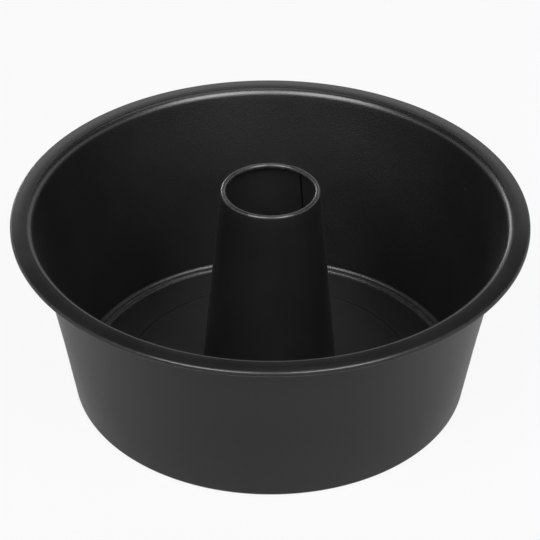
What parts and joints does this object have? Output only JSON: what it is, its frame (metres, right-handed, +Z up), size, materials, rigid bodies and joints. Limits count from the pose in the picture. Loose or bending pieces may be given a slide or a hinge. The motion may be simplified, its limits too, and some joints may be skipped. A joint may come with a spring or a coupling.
{
  "type": "angel food cake pan",
  "caption": "Round angel food cake pan of dark non-stick sheet steel, with a rolled rim and a lift-out base plate that carries a tapered centre tube.",
  "frame": {"origin": "middle of the face that the pan stands on", "axes": "+Z up along the axis of the pan and its centre tube; +X points to the right in the picture and +Y away from the camera"},
  "size_m": [0.2752, 0.2752, 0.1214],
  "materials": {
    "shell_coat": "satin",
    "plate_coat": "satin",
    "tube_coat": "satin"
  },
  "bodies": {
    "shell": {"pan_shell": "shell_coat"},
    "insert": {"base_plate": "plate_coat", "centre_tube": "tube_coat"}
  },
  "joints": [
    {"name": "insert_lift", "type": "slide", "parent": "shell", "child": "insert", "axis": [0, 0, 1], "range_m": [0, 0.13]}
  ]
}
